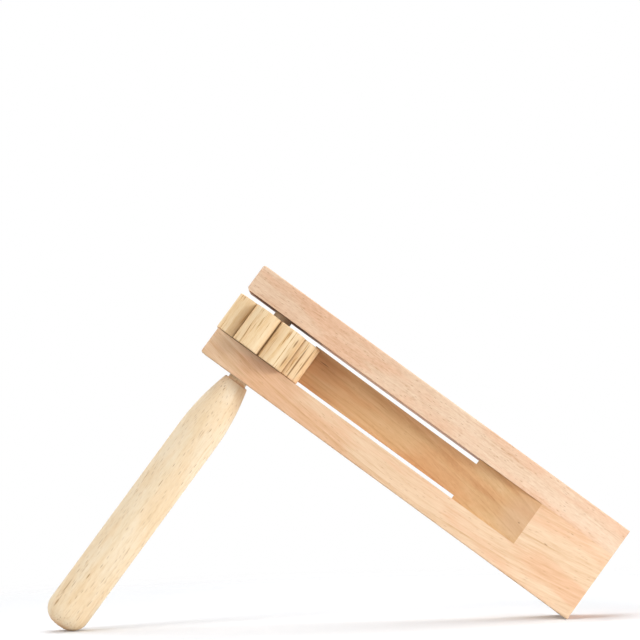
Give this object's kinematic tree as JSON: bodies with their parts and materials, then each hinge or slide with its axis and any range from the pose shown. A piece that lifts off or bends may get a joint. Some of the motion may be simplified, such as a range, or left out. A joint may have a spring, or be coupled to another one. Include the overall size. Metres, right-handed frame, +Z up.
{
  "type": "ratchet rattle",
  "caption": "Wooden ratchet rattle: a slotted frame swings round a beaded cog on a turned handle, and a springy wooden reed clacks over the cog.",
  "frame": {"origin": "on the axle's axis, halfway up the straight, gripped part of the handle", "axes": "+Z up the handle and along the axle, +X along the frame to its closed end, +Y through the frame from its front face to its back face"},
  "size_m": [0.2021, 0.0446, 0.1834],
  "materials": {
    "handle_wood": "turned and sanded, bare",
    "dowel_wood": "planed dowel, bare",
    "cog_wood": "moulded along the grain, bare",
    "frame_wood": "planed and sanded, bare",
    "rail_wood": "planed and sanded, bare",
    "reed_wood": "sawn thin and sanded, bare"
  },
  "bodies": {
    "handle": {"handle": "handle_wood", "axle": "dowel_wood", "cog_wheel": "cog_wood"},
    "frame": {"frame_base": "frame_wood", "upper_rail": "rail_wood"},
    "reed": {"reed": "reed_wood"}
  },
  "joints": [
    {"name": "frame_spin", "type": "hinge", "parent": "handle", "child": "frame", "pos_m": [0, 0, 0.1035], "axis": [0, 0, 1], "continuous": true, "deforming": ["reed"]},
    {"name": "reed_flex", "type": "hinge", "parent": "frame", "child": "reed", "pos_m": [0.1081, -0.0064, 0.1035], "axis": [0, 0, 1], "range_deg": [-9, 9], "stiffness_Nm_per_rad": 9.8}
  ]
}
